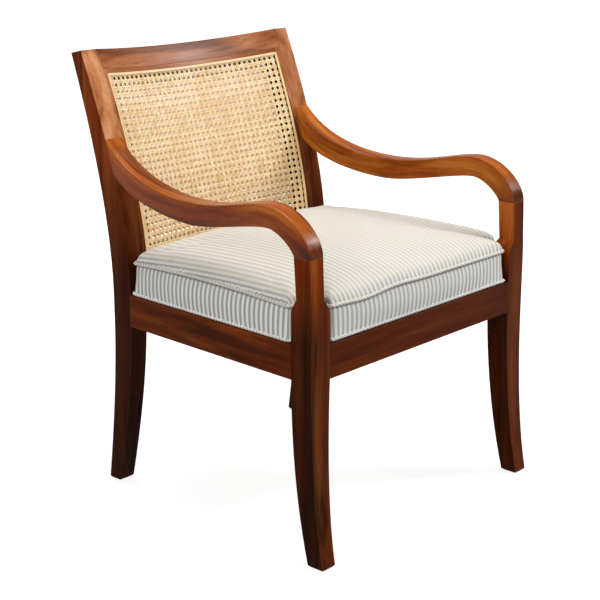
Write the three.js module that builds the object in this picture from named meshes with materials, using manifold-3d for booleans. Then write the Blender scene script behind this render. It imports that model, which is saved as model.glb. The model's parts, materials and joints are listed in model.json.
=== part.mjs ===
// A caned armchair with a loose boxed cushion: sabre legs, a reclined and bowed back, scrolled arms.
// Millimetres, +Z up, +Y towards the back. "Left" is -X, the left-hand side seen from the front.
// Every piece is drawn with y = 0 on the front legs' front faces, and the chair is centred at the end.
import * as THREE from "three";
import { mergeVertices } from "three/addons/utils/BufferGeometryUtils.js";
import Module from "manifold-3d";

const wasm = await Module();
wasm.setup();

// Clearances and edges
const fit = 0.3;
const overrun = 2;
const timberArris = 2;
const railArris = 1.5;
const trimArris = 0.4;
const soleEase = 3;

// Seat frame
const frontWidth = 608;
const backWidth = 551;
const legSize = 47;
const seatDepth = 431.5;
const railTop = 390;
const railHeight = 61;
const railFall = 5.5;
const railThickness = 22;
const rearRailSetback = 12;
const tenonLength = 20;
const tenonThickness = 10;
const tenonShoulder = 9;

// Front legs, with the arm supports that grow out of them
const footWidth = 33;
const footDepth = 35;
const toeReach = 26.5;
const toeBendShare = 0.635;
const heelBendShare = 0.547;
const shoulderRise = 48.5;
const shoulderHeight = 30;
const supportWidth = 32.5;
const supportDepth = 34.5;
const supportTopDepth = 37;
const supportLean = 3.6;

// Back posts: back legs and reclined stiles in one
const postDepth = 46;
const postWidth = 41;
const postFootWidth = 36;
const postFootDepth = 29.6;
const postTopWidth = 39;
const postTopDepth = 27.5;
const footReach = 46.7;
const backHeight = 437;
const backReach = 113;
const bendRise = 10;
const frontBendShare = 0.386;
const backBendShare = 0.375;
const footBendShare = 0.39;
const topCutAngle = 13;

// Back panel between the posts, measured down the back and through it
const bowDepth = 27;
const crestHeight = 38.5;
const crestDepth = 27;
const caneHeight = 350;
const lowerRailHeight = 30;
const lowerRailDepth = 22;
const panelDepth = 22;
const stripWidth = 8.8;
const ledgeWidth = 18;
const splineWidth = 5;
const splineThickness = 1.2;
const caneThickness = 2;

// Arms, in heights above the rails
const armJointRise = 150;
const armCrestRise = 227;
const armDipRise = 200.6;
const armRootRise = 281;
const armRootHeight = 61;
const armCrestThickness = 38;
const armDipThickness = 40;
const armWidth = 39;
const armCrestWidth = 35.5;
const armCrown = 0.8;
const armArris = 3;
const armCrestShare = 0.213;
const armDipShare = 0.623;
const rootTopAngle = 49.5;
const rootBottomAngle = 48;
const topHandleShares = [0.35, 0.34, 0.44, 0.26, 0.48, 0.46];
const bottomHandleShares = [0.29, 0.26, 0.27, 0.18, 0.49, 0.17];

// Seat deck, corner blocks and fixings
const rabbetWidth = 8;
const rabbetDepth = 4.5;
const blockReach = 45;
const blockHeight = 30;
const blockDrop = 20;
const screwRadius = 2;
const screwHeadRadius = 4;
const screwHeadDepth = 3;
const screwLength = 33;
const dowelRadius = 4;
const dowelLength = 28;
const rootDowelShare = 0.36;
const rootDowelAngle = 14;

// Cushion
const cushionSeam = 62;
const seamLift = 7;
const cushionCrown = 45;
const crownReachShares = [0.93, 0.84, 0.66, 0.4];
const crownRiseShares = [0.304, 0.582, 0.875, 0.99];
const cushionEarGap = 1;
const cushionNotchGap = 3;
const cushionBackGap = 1;
const cushionBackBow = 20;
const frontCornerRadius = 9;
const notchRadius = 7;
const backCornerRadius = 7;
const weltRadius = 4;
const boxingInset = 7;
const boxingHollow = 2.5;
const edgeRoll = 20;
const edgeRollWidth = 18;
const edgeRollShare = 0.4;
const bottomInset = 14;

// Places that follow from those sizes
const legInner = frontWidth / 2 - legSize;
const postFront = legSize + seatDepth;
const rearRailFront = postFront + rearRailSetback;
const postFoot = postFront + footReach;
const postTop = railTop + backHeight;
const armJoint = railTop + armJointRise;
const toRadians = THREE.MathUtils.degToRad;

// Counts of steps along the curves
const sabreSteps = 12;
const postSteps = 14;
const shoulderSteps = 5;
const armSteps = [13, 12, 16];
const crestSteps = 16;
const caneSteps = 12;

// Materials
const finishes = {
  wood: { color: 0x7a3216, roughness: 0.3, metalness: 0 },
  hiddenWood: { color: 0x6b3a20, roughness: 0.7, metalness: 0 },
  cane: { color: 0xe2c084, roughness: 0.65, metalness: 0 },
  cloth: { color: 0xe4e0d4, roughness: 0.95, metalness: 0 },
  piping: { color: 0xc9ccd0, roughness: 0.95, metalness: 0 },
  steel: { color: 0x9a9a96, roughness: 0.4, metalness: 0.9 },
};

// Geometry helpers

function point(x, y, z) {
  return new THREE.Vector3(x, y, z);
}

function mix(a, b, share) {
  return a + (b - a) * share;
}

/** A closed mesh with its faces turned outwards. */
function closedMesh(positions, indices) {
  const at = (i) => point(positions[3 * i], positions[3 * i + 1], positions[3 * i + 2]);
  let volume = 0;
  for (let i = 0; i < indices.length; i += 3) {
    volume += at(indices[i]).dot(at(indices[i + 1]).cross(at(indices[i + 2])));
  }
  const facing = volume < 0 ? indices.toReversed() : indices;
  const geometry = new THREE.BufferGeometry();
  geometry.setAttribute("position", new THREE.Float32BufferAttribute(positions, 3));
  geometry.setIndex(facing);
  geometry.computeVertexNormals();
  return geometry;
}

/** Closes a ring with a flat outline by triangles, in the ring's own direction. */
function flatCap(ring) {
  const normal = point(0, 0, 0);
  ring.forEach((p, i) => normal.add(p.clone().cross(ring[(i + 1) % ring.length])));
  const sizes = normal.toArray().map(Math.abs);
  const flat = sizes.indexOf(Math.max(...sizes));
  const [u, v] = [0, 1, 2].filter((axis) => axis !== flat);
  const outline = ring.map((p) => new THREE.Vector2(p.getComponent(u), p.getComponent(v)));
  const forward = THREE.ShapeUtils.area(outline) > 0;
  return THREE.ShapeUtils.triangulateShape(outline, []).map(([a, b, c]) => {
    const same = THREE.ShapeUtils.area([outline[a], outline[b], outline[c]]) > 0 === forward;
    return same ? [a, b, c] : [a, c, b];
  });
}

/** Closes a ring that runs out along one side and back along the other, rung by rung. */
function ladderCap(ring) {
  const last = ring.length - 1;
  const rungs = steps(0, ring.length / 2 - 2, ring.length / 2 - 2);
  return rungs.flatMap((i) => [[i, i + 1, last - i - 1], [i, last - i - 1, last - i]]);
}

/** Closes a ring by a fan about its middle, which loft adds after the ring's own points. */
function fanCap(ring) {
  return ring.map((_, i) => [i, (i + 1) % ring.length, ring.length]);
}

/** A body through rings of equally many points. With no cap it closes back onto its first ring. */
function loft(rings, cap = flatCap) {
  const count = rings[0].length;
  const positions = rings.flat().flatMap((p) => p.toArray());
  const indices = [];
  const spans = cap ? rings.length - 1 : rings.length;
  for (let i = 0; i < spans; i += 1) {
    const here = i * count;
    const there = ((i + 1) % rings.length) * count;
    for (let j = 0; j < count; j += 1) {
      const next = (j + 1) % count;
      indices.push(here + j, here + next, there + next);
      indices.push(here + j, there + next, there + j);
    }
  }
  for (const first of cap ? [0, rings.length - 1] : []) {
    const ring = rings[first];
    const middle = positions.length / 3;
    if (cap === fanCap) {
      const sum = ring.reduce((total, p) => total.add(p), point(0, 0, 0));
      positions.push(...sum.divideScalar(count).toArray());
    }
    const at = (k) => (k === count ? middle : first * count + k);
    cap(ring).forEach(([a, b, c]) => indices.push(at(a), ...(first ? [at(b), at(c)] : [at(c), at(b)])));
  }
  return closedMesh(positions, indices);
}

/** A polygon with its corners rounded. One radius serves all corners, or each has its own. */
function rounded(corners, radii, arcSteps = 2) {
  return corners.flatMap((corner, i) => {
    const radius = Array.isArray(radii) ? radii[i] : radii;
    const before = corners[(i + corners.length - 1) % corners.length];
    const after = corners[(i + 1) % corners.length];
    const start = corner.clone().add(before.clone().sub(corner).setLength(radius));
    const end = corner.clone().add(after.clone().sub(corner).setLength(radius));
    return new THREE.QuadraticBezierCurve(start, corner, end).getPoints(arcSteps);
  });
}

function rectangle(left, right, low, high) {
  return [[left, low], [right, low], [right, high], [left, high]].map(([a, b]) => new THREE.Vector2(a, b));
}

/** Rings of one section, placed at each station. */
function sweep(stations, section, place, cap) {
  return loft(stations.map((station) => section.map((p) => place(station, p.x, p.y))), cap);
}

function steps(start, end, count) {
  return Array.from({ length: count + 1 }, (_, i) => mix(start, end, i / count));
}

function mirrored(geometry) {
  const copy = geometry.clone().scale(-1, 1, 1);
  copy.setIndex(Array.from(copy.index.array).toReversed());
  copy.computeVertexNormals();
  return copy;
}

function toSolid(geometry) {
  const bare = geometry.clone();
  bare.deleteAttribute("normal");
  bare.deleteAttribute("uv");
  const merged = mergeVertices(bare);
  const vertProperties = new Float32Array(merged.getAttribute("position").array);
  const triVerts = new Uint32Array(merged.index.array);
  return new wasm.Manifold(new wasm.Mesh({ numProp: 3, vertProperties, triVerts }));
}

function toGeometry(solid) {
  const mesh = solid.getMesh();
  return closedMesh(Array.from(mesh.vertProperties), Array.from(mesh.triVerts));
}

function joined(parts) {
  return toGeometry(parts.map(toSolid).reduce((body, part) => body.add(part)));
}

function cut(geometry, cutters) {
  const whole = toSolid(geometry);
  return toGeometry(cutters.map(toSolid).reduce((body, cutter) => body.subtract(cutter), whole));
}

/** A round body about the line from one point towards another, from a profile of radius and distance. */
function turned(profile, from, direction, sides) {
  const lathe = new THREE.LatheGeometry(profile.map(([r, y]) => new THREE.Vector2(r, y)), sides);
  const turn = new THREE.Quaternion().setFromUnitVectors(point(0, 1, 0), direction.clone().normalize());
  lathe.applyQuaternion(turn).translate(from.x, from.y, from.z);
  return toGeometry(toSolid(lathe));
}

// Curves of the legs, posts and seat

function bend(startY, startZ, endY, endZ, share) {
  return new THREE.QuadraticBezierCurve(
    new THREE.Vector2(startY, startZ),
    new THREE.Vector2(startY, mix(startZ, endZ, share)),
    new THREE.Vector2(endY, endZ),
  );
}

/** The y of a rising or falling curve at a height. */
function placeAt(curve, z) {
  const rises = curve.v2.y > curve.v0.y;
  const halvings = 40;
  let low = 0;
  let high = 1;
  for (let i = 0; i < halvings; i += 1) {
    const middle = (low + high) / 2;
    if (curve.getPoint(middle).y < z === rises) low = middle;
    else high = middle;
  }
  return curve.getPoint(low).x;
}

const railBottom = railTop - railHeight;
const sabreFront = bend(0, railBottom, -toeReach, 0, toeBendShare);
const sabreBack = bend(legSize, railBottom, footDepth - toeReach, 0, heelBendShare);
const topCutDrop = postTopDepth * Math.tan(toRadians(topCutAngle));
const backEnd = { y: postFront + backReach + postTopDepth, z: postTop - topCutDrop };
const postUpperFront = bend(postFront, railTop + bendRise, postFront + backReach, postTop, frontBendShare);
const postUpperBack = bend(postFront + postDepth, railTop - bendRise, backEnd.y, backEnd.z, backBendShare);
const postLowerFront = bend(postFront, railBottom, postFoot, 0, footBendShare);
const postLowerBack = bend(postFront + postDepth, railBottom, postFoot + postFootDepth, 0, footBendShare);

function postFrontAt(z) {
  if (z < railBottom) return placeAt(postLowerFront, z);
  return z > railTop + bendRise ? placeAt(postUpperFront, z) : postFront;
}

function postBackAt(z) {
  if (z < railBottom) return placeAt(postLowerBack, z);
  return z > railTop - bendRise ? placeAt(postUpperBack, z) : postFront + postDepth;
}

/** The posts' width at a height: tapered to the foot and a little to the top. */
function postWidthAt(z) {
  if (z < railBottom) return mix(postFootWidth, postWidth, z / railBottom);
  return mix(postWidth, postTopWidth, Math.max(0, z - railTop) / backHeight);
}

function postInnerAt(z) {
  return backWidth / 2 - postWidthAt(z);
}

/** Half the seat frame's width at a distance from the front, carried on in a straight line. */
function seatHalf(y) {
  return mix(frontWidth / 2, backWidth / 2, (y - legSize) / seatDepth);
}

/** A point of the seat, which falls a little to the back, at a height above the rails. */
function seatPoint(x, y, up) {
  return point(x, y, railTop - railFall * (y / postFront) + up);
}

// The back's surface

const backCurveLength = postUpperFront.getLength();

/** The front edge of the posts at a distance down from their tops, with the direction into the back. */
function backLine(down) {
  if (down >= backCurveLength) {
    return { y: postFront, z: railTop + bendRise + backCurveLength - down, intoY: 1, intoZ: 0 };
  }
  const share = 1 - Math.max(0, down) / backCurveLength;
  const at = postUpperFront.getPointAt(share);
  const along = postUpperFront.getTangentAt(share);
  const above = Math.max(0, -down);
  return { y: at.x + along.x * above, z: at.y + along.y * above, intoY: along.y, intoZ: -along.x };
}

/** Half the distance between the posts, at a distance down from their tops. */
function backHalf(down) {
  return postInnerAt(backLine(down).z);
}

/** A point of the bowed back, across it, down from the top and in through its depth. */
function backPoint(x, down, depth) {
  const line = backLine(down);
  const acrossShare = x / backHalf(down);
  const into = depth + bowDepth * (1 - acrossShare ** 2);
  return point(x, line.y + line.intoY * into, line.z + line.intoZ * into);
}

// Tenons. Each is made a little larger again to cut its mortise.

const tenonInset = (railThickness - tenonThickness) / 2;

/** A side rail's place: back from the front, in from the outer face, up from the rail top. */
function sideRailPoint(y, inset, up) {
  return seatPoint(inset - seatHalf(y), y, up);
}

function sideTenon(start, end, grow) {
  const section = rectangle(
    tenonInset - grow,
    tenonInset + tenonThickness + grow,
    tenonShoulder - railHeight - grow,
    grow - tenonShoulder,
  );
  return sweep([start, end], section, sideRailPoint);
}

/** A tenon of the front or rear rail into the left-hand post. */
function crossTenon(inner, front, grow) {
  const section = rectangle(
    front + tenonInset - grow,
    front + tenonInset + tenonThickness + grow,
    tenonShoulder - railHeight - grow,
    grow - tenonShoulder,
  );
  return sweep([-inner - tenonLength - grow, -inner + overrun], section, (x, y, up) => seatPoint(x, y, up));
}

/** A tenon of the crest or the lower back rail into the left-hand post. */
function backTenon(top, height, depth, grow) {
  const shoulder = tenonShoulder / 2;
  const middle = depth / 2;
  const section = rectangle(
    top + shoulder - grow,
    top + height - shoulder + grow,
    middle - tenonThickness / 2 - grow,
    middle + tenonThickness / 2 + grow,
  );
  const inner = backHalf(top + height / 2);
  const line = (x, down, into) => {
    const at = backLine(down);
    return point(x, at.y + at.intoY * into, at.z + at.intoZ * into);
  };
  return sweep([-inner - tenonLength - grow, -inner + overrun], section, line);
}

const lowerRailTop = crestHeight + 2 * stripWidth + caneHeight;
const crestTenon = (grow) => backTenon(0, crestHeight, crestDepth, grow);
const lowerRailTenon = (grow) => backTenon(lowerRailTop, lowerRailHeight, lowerRailDepth, grow);
const frontTenon = (grow) => crossTenon(legInner, 0, grow);
const rearTenon = (grow) => crossTenon(postInnerAt(railTop), rearRailFront, grow);
const sideFrontTenon = (grow) => sideTenon(legSize - tenonLength - grow, legSize + overrun, grow);
const sideRearTenon = (grow) => sideTenon(postFront - overrun, postFront + tenonLength + grow, grow);

// Dowels of the arm joints

function dowel(centre, direction, grow) {
  const along = direction.clone().normalize();
  const half = dowelLength / 2 + grow;
  const radius = dowelRadius + grow;
  const dowelSides = 10;
  const profile = [[0, 0], [radius, 0], [radius, 2 * half], [0, 2 * half]];
  return turned(profile, centre.clone().addScaledVector(along, -half), along, dowelSides);
}

function supportDowel(grow) {
  const across = supportWidth / 2 - frontWidth / 2;
  return dowel(point(across, supportLean + supportTopDepth / 2, armJoint + fit / 2), point(0, 0, 1), grow);
}

const rootBottomZ = railTop + armRootRise - armRootHeight;
const rootTopZ = railTop + armRootRise;

function rootDowel(grow) {
  const z = mix(rootBottomZ, rootTopZ, rootDowelShare);
  const across = armWidth / 2 - backWidth / 2;
  const drop = toRadians(rootDowelAngle);
  return dowel(point(across, postFrontAt(z), z), point(0, -Math.cos(drop), -Math.sin(drop)), grow);
}

// Corner blocks and their screws. Each lies in the corner between a side rail and a cross rail.

const corners = {
  front: { x: -legInner, y: legSize, railY: railThickness, towards: 1 },
  rear: { x: -postInnerAt(railBottom), y: postFront, railY: rearRailFront, towards: -1 },
};

function blockOutline({ x, y, railY, towards }) {
  const sideInner = (at) => railThickness - seatHalf(at) + fit;
  const near = y + fit * towards;
  const far = y + blockReach * towards;
  const rail = railY + fit * towards;
  const clear = x + fit;
  return [
    [sideInner(near), near],
    [sideInner(far), far],
    [x + blockReach, rail],
    [clear, rail],
    [clear, near],
  ].map(([a, b]) => new THREE.Vector2(a, b));
}

function screw(corner, grow) {
  const [, far, reach] = blockOutline(corner);
  const height = railTop - railFall - blockDrop - blockHeight / 2;
  const middle = far.clone().add(reach).multiplyScalar(0.5);
  const inwards = new THREE.Vector2(corner.x, corner.y).sub(middle).normalize();
  const start = point(middle.x, middle.y, height);
  const profile = [
    [0, -grow],
    [screwHeadRadius + grow, -grow],
    [screwRadius + grow, screwHeadDepth],
    [screwRadius + grow, screwLength - screwHeadDepth],
    [0, screwLength + grow],
  ];
  const screwSides = 10;
  return turned(profile, start, point(inwards.x, inwards.y, 0), screwSides);
}

// The pieces, each drawn on the left-hand side where there are two

/** A leg's section, drawn in all round where it meets the floor. */
function legSection(left, right, front, back, z) {
  const ease = z === 0 ? soleEase : 0;
  return rectangle(left + ease, right - ease, front + ease, back - ease);
}

/** The front leg's inner side and back draw in to the arm support above a rounded shoulder. */
function frontLeg() {
  const outer = -frontWidth / 2;
  const shoulder = railTop + shoulderRise;
  const supportFrom = shoulder + shoulderHeight;
  const drawnIn = (z) => {
    const share = THREE.MathUtils.clamp((z - shoulder) / shoulderHeight, 0, 1);
    return 1 - Math.cos((share * Math.PI) / 2);
  };
  const section = (z) => {
    if (z < railBottom) {
      const width = mix(footWidth, legSize, z / railBottom);
      return legSection(outer, outer + width, placeAt(sabreFront, z), placeAt(sabreBack, z), z);
    }
    const lean = supportLean * Math.max(0, (z - shoulder) / (armJoint - shoulder));
    const above = Math.max(0, (z - supportFrom) / (armJoint - supportFrom));
    const width = mix(legSize, supportWidth, drawnIn(z));
    const depth = mix(legSize, mix(supportDepth, supportTopDepth, above), drawnIn(z));
    return rectangle(outer, outer + width, lean, lean + depth);
  };
  const heights = [
    0,
    ...steps(soleEase, railBottom, sabreSteps),
    ...steps(shoulder, supportFrom, shoulderSteps),
    armJoint,
  ];
  const rings = heights.map((z) => rounded(section(z), timberArris).map((p) => point(p.x, p.y, z)));
  const holes = [sideFrontTenon(fit), frontTenon(fit), supportDowel(fit), screw(corners.front, fit)];
  return cut(loft(rings), holes);
}

// The front corner beside the caned panel is only eased, so no groove shows there
const panelSideArrises = [timberArris, trimArris, timberArris, timberArris];

/** The back post is straight at the rails and sweeps back below and above them. */
function backPost() {
  const outer = -backWidth / 2;
  const below = [0, ...steps(soleEase, railBottom, sabreSteps)];
  const above = steps(railTop - bendRise, postTop, postSteps);
  const rings = [...below, ...above].map((z) => {
    const section = legSection(outer, outer + postWidthAt(z), postFrontAt(z), postBackAt(z), z);
    const slope = z === postTop ? Math.tan(toRadians(topCutAngle)) : 0;
    const arrises = z > railTop ? panelSideArrises : timberArris;
    return rounded(section, arrises).map((p) => point(p.x, p.y, z - slope * (p.y - postFrontAt(z))));
  });
  return cut(loft(rings), [
    sideRearTenon(fit),
    rearTenon(fit),
    crestTenon(fit),
    lowerRailTenon(fit),
    rootDowel(fit),
    screw(corners.rear, fit),
  ]);
}

function span(from, to, shares, fromAngle) {
  const reach = from.x - to.x;
  const handle = reach * shares[0];
  const slope = toRadians(fromAngle);
  return new THREE.CubicBezierCurve(
    from,
    new THREE.Vector2(from.x - Math.cos(slope) * handle, from.y - Math.sin(slope) * handle),
    new THREE.Vector2(to.x + reach * shares[1], to.y),
    to,
  );
}

/** One edge of the arm from the side, in three spans: to the dip, to the crest and round to the joint. */
function armEdge(root, rootAngle, dipZ, crestZ, jointY, shares) {
  const dip = new THREE.Vector2(postFront * armDipShare, dipZ);
  const crest = new THREE.Vector2(postFront * armCrestShare, crestZ);
  const joint = new THREE.Vector2(jointY, armJoint + fit);
  const turn = new THREE.CubicBezierCurve(
    crest,
    new THREE.Vector2(crest.x - (crest.x - joint.x) * shares[4], crest.y),
    new THREE.Vector2(joint.x, joint.y + (crest.y - joint.y) * shares[5]),
    joint,
  );
  return [span(root, dip, shares.slice(0, 2), rootAngle), span(dip, crest, shares.slice(2, 4), 0), turn];
}

const rootGap = 2 * fit;
const rootAt = (z) => new THREE.Vector2(postFrontAt(z) - rootGap, z);
const armTop = armEdge(
  rootAt(rootTopZ),
  rootTopAngle,
  railTop + armDipRise,
  railTop + armCrestRise,
  supportLean,
  topHandleShares,
);
const armBottom = armEdge(
  rootAt(rootBottomZ),
  rootBottomAngle,
  railTop + armDipRise - armDipThickness,
  railTop + armCrestRise - armCrestThickness,
  supportLean + supportTopDepth,
  bottomHandleShares,
);

/** The arm follows both edges. Its outer face runs straight from post to crest, then along the leg. */
function arm() {
  const crestY = postFront * armCrestShare;
  const rootY = postFrontAt(rootTopZ);
  const outerAt = (y) => mix(frontWidth / 2, backWidth / 2, Math.max(0, (y - crestY) / (rootY - crestY)));
  const widths = [[armWidth, armWidth], [armWidth, armCrestWidth], [armCrestWidth, supportWidth]];
  const rings = armTop.flatMap((top, i) => {
    const first = i === 0 ? 0 : 1 / armSteps[i];
    const count = i === 0 ? armSteps[i] : armSteps[i] - 1;
    return steps(first, 1, count).map((share) => {
      const high = top.getPoint(share);
      const low = armBottom[i].getPoint(share);
      const outer = -outerAt((high.x + low.x) / 2);
      const width = mix(...widths[i], share);
      const thickness = high.distanceTo(low);
      const nearness = i === 2 ? share : 0;
      const crown = armCrown * (1 - nearness);
      const upper = mix(armArris, timberArris, nearness);
      const outline = rounded(rectangle(0, width, 0, thickness), [timberArris, timberArris, upper, upper]);
      return outline.map((p) => {
        const raised = p.y > thickness / 2 ? crown * (1 - (2 * (p.x / width) - 1) ** 2) : 0;
        const at = low.clone().lerp(high, (p.y + raised) / thickness);
        return point(outer + p.x, at.x, at.y);
      });
    });
  });
  return cut(loft(rings), [supportDowel(fit), rootDowel(fit)]);
}

function crestRail() {
  const lean = Math.atan2(-backLine(0).intoZ, backLine(0).intoY);
  const topRise = crestDepth * Math.tan(lean - toRadians(topCutAngle));
  const section = [[0, 0], [crestHeight, 0], [crestHeight, crestDepth], [-topRise, crestDepth]];
  const sharp = section.map(([down, depth]) => new THREE.Vector2(down, depth));
  const outline = rounded(sharp, panelSideArrises);
  const rail = sweep(steps(-1, 1, crestSteps), outline, (share, down, depth) =>
    backPoint(share * (backHalf(down) - fit), down, depth));
  return joined([rail, crestTenon(0), mirrored(crestTenon(0))]);
}

function lowerBackRail() {
  const section = rectangle(lowerRailTop, lowerRailTop + lowerRailHeight, 0, lowerRailDepth);
  const outline = rounded(section, railArris);
  const rail = sweep(steps(-1, 1, crestSteps), outline, (share, down, depth) =>
    backPoint(share * (backHalf(down) - fit), down, depth));
  return joined([rail, lowerRailTenon(0), mirrored(lowerRailTenon(0))]);
}

/** A side rail with a rabbet along its inner top edge for the seat cane. */
function sideRail() {
  const outline = rounded(rectangle(0, railThickness, -railHeight, 0), railArris);
  const rail = sweep([legSize + fit, postFront - fit], outline, sideRailPoint);
  const rabbet = rectangle(railThickness - rabbetWidth, railThickness + overrun, -rabbetDepth, overrun);
  const cutter = sweep([0, postFront + legSize], rabbet, sideRailPoint);
  return joined([cut(rail, [cutter]), sideFrontTenon(0), sideRearTenon(0)]);
}

/** The front or rear rail, with its rabbet on the face that looks into the seat. */
function crossRail(inner, front, rabbetFrom, rabbetTo, tenon) {
  const outline = rounded(rectangle(front, front + railThickness, -railHeight, 0), railArris);
  const along = (x, y, up) => seatPoint(x, y, up);
  const rail = sweep([fit - inner, inner - fit], outline, along);
  const cutter = sweep([-inner, inner], rectangle(rabbetFrom, rabbetTo, -rabbetDepth, overrun), along);
  return joined([cut(rail, [cutter]), tenon, mirrored(tenon)]);
}

function frontRail() {
  return crossRail(legInner, 0, railThickness - rabbetWidth, railThickness + overrun, frontTenon(0));
}

function rearRail() {
  const rabbetTo = rearRailFront + rabbetWidth;
  return crossRail(postInnerAt(railTop), rearRailFront, rearRailFront - overrun, rabbetTo, rearTenon(0));
}

// The caned back panel: a border frame with a ledge that holds a cane sheet on each face

const ledgeDepth = splineThickness + caneThickness + 2 * fit;
const panelTop = crestHeight + fit;
const panelBottom = lowerRailTop - fit;
const openingTop = crestHeight + stripWidth;
const openingBottom = lowerRailTop - stripWidth;

function sideStrip() {
  const place = (down, inset, depth) => backPoint(inset - backHalf(down), down, depth);
  const plank = rounded(rectangle(fit, stripWidth, 0, panelDepth), trimArris, 1);
  const ledgeReach = stripWidth + ledgeWidth;
  const ledge = rectangle(stripWidth - overrun, ledgeReach, ledgeDepth, panelDepth - ledgeDepth);
  const from = openingTop + ledgeWidth + fit;
  const to = openingBottom - ledgeWidth - fit;
  return joined([
    sweep(steps(panelTop, panelBottom, caneSteps), plank, place),
    sweep(steps(from, to, caneSteps), ledge, place),
  ]);
}

/** The top or bottom strip, from its outer edge towards the cane. */
function crossStrip(outerEdge, towards) {
  const ledgeReach = stripWidth + ledgeWidth;
  const front = [[fit, 0], [stripWidth, 0], [stripWidth, ledgeDepth], [ledgeReach, ledgeDepth]];
  const back = front.map(([down, depth]) => [down, panelDepth - depth]).reverse();
  const outline = [...front, ...back].map(([down, depth]) =>
    new THREE.Vector2(outerEdge + towards * down, depth));
  return sweep(steps(-1, 1, caneSteps), outline, (share, down, depth) =>
    backPoint(share * (backHalf(down) - stripWidth - fit), down, depth));
}

function caneSheet(nearFace, farFace) {
  const downs = steps(openingTop + fit, openingBottom - fit, caneSteps);
  const outline = [
    ...downs.map((down) => new THREE.Vector2(down, nearFace)),
    ...downs.toReversed().map((down) => new THREE.Vector2(down, farFace)),
  ];
  return sweep(steps(-1, 1, caneSteps), outline, (share, down, depth) =>
    backPoint(share * (backHalf(down) - stripWidth - fit), down, depth), ladderCap);
}

/** The spline along one side of the cane, on its near or far face. */
function sideSpline(nearFace) {
  const farFace = nearFace + splineThickness;
  const section = rectangle(stripWidth + fit, stripWidth + splineWidth, nearFace, farFace);
  return sweep(steps(openingTop + fit, openingBottom - fit, caneSteps), section, (down, inset, depth) =>
    backPoint(inset - backHalf(down), down, depth));
}

function crossSpline(top, nearFace) {
  const section = rectangle(top, top + splineWidth - fit, nearFace, nearFace + splineThickness);
  return sweep(steps(-1, 1, caneSteps), section, (share, down, depth) =>
    backPoint(share * (backHalf(down) - stripWidth - splineWidth - fit), down, depth));
}

// The seat deck under the cushion

const deckSide = (y) => seatHalf(y) - railThickness + rabbetWidth - fit;
const deckFront = railThickness - rabbetWidth + fit;
const deckRear = rearRailFront + rabbetWidth - fit;
const deckLow = fit - rabbetDepth;

/** A flat piece of the seat, from its outline and its lower and upper faces. */
function seatPlate(outline, low, high) {
  return loft([low, high].map((up) => outline.map(([x, y]) => seatPoint(x, y, up))));
}

function seatCane() {
  const legEdge = legInner - fit;
  const postEdge = postInnerAt(railTop) - fit;
  const side = [
    [legEdge, deckFront],
    [legEdge, legSize + fit],
    [deckSide(legSize + fit), legSize + fit],
    [deckSide(postFront - fit), postFront - fit],
    [postEdge, postFront - fit],
    [postEdge, deckRear],
  ];
  const outline = [...side, ...side.map(([x, y]) => [-x, y]).reverse()];
  return seatPlate(outline, deckLow, deckLow + caneThickness);
}

const deckSplineLow = deckLow + caneThickness + fit;

function seatSideSpline() {
  const [near, far] = [legSize + fit, postFront - fit];
  const outline = [[near, 0], [far, 0], [far, splineWidth], [near, splineWidth]].map(([y, inset]) =>
    [inset - deckSide(y), y]);
  return seatPlate(outline, deckSplineLow, deckSplineLow + splineThickness);
}

function seatCrossSpline(half, front) {
  const rear = front + splineWidth;
  const outline = [[-half, front], [half, front], [half, rear], [-half, rear]];
  return seatPlate(outline, deckSplineLow, deckSplineLow + splineThickness);
}

function cornerBlock(corner) {
  const top = railTop - railFall - blockDrop;
  const rings = [top - blockHeight, top].map((z) => blockOutline(corner).map((p) => point(p.x, p.y, z)));
  return cut(loft(rings), [screw(corner, fit)]);
}

// The cushion: a boxed cushion cut round the front legs, with a welt round its top and bottom edges

const cushionBack = postFront - cushionBackGap;
const cushionNotch = legSize + cushionNotchGap;
const bowHalf = postInnerAt(railTop) - weltRadius;

/** The cushion's outline in plan, drawn in by an inset. */
function cushionOutline(inset) {
  const ear = legInner - cushionEarGap - inset;
  const notch = cushionNotch + inset;
  const back = cushionBack - inset;
  const half = [
    [ear, inset],
    [ear, notch],
    [seatHalf(notch) - inset, notch],
    [seatHalf(back) - inset, back],
  ];
  const otherHalf = half.map(([x, y]) => [-x, y]).reverse();
  const whole = [...half, ...otherHalf].map(([x, y]) => new THREE.Vector2(x, y));
  const radii = [frontCornerRadius, notchRadius, frontCornerRadius, backCornerRadius];
  const arcSteps = 4;
  const rounding = rounded(whole, [...radii, ...radii.toReversed()], arcSteps);
  const edgeSteps = [1, 1, 8, 10, 8, 1, 1, 10];
  const backEdge = 3;
  const pieces = arcSteps + 1;
  const bowed = (share) => new THREE.Vector2(share * bowHalf, back + cushionBackBow * (1 - share ** 2));
  return edgeSteps.flatMap((count, i) => {
    const arc = rounding.slice(i * pieces, (i + 1) * pieces);
    const next = rounding[((i + 1) * pieces) % rounding.length];
    const straight = (share) => arc.at(-1).clone().lerp(next, share);
    const edge = steps(0, 1, count).slice(1, -1).map(straight);
    return [...arc, ...(i === backEdge ? steps(1, -1, count).map(bowed) : edge)];
  });
}

const weltGap = weltRadius + fit;
const weltSeat = weltRadius + weltGap * Math.SQRT2;

function cushionRing(inset, up) {
  return cushionOutline(inset).map((p) => seatPoint(p.x, p.y, up));
}

/** A ring at the top seam or above it. The filling lifts the seam in the middle of the sides. */
function topRing(outline, up) {
  return outline.map((p) => {
    const share = THREE.MathUtils.clamp((p.y - cushionNotch) / (cushionBack - cushionNotch), 0, 1);
    return seatPoint(p.x, p.y, up + seamLift * 4 * share * (1 - share));
  });
}

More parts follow.
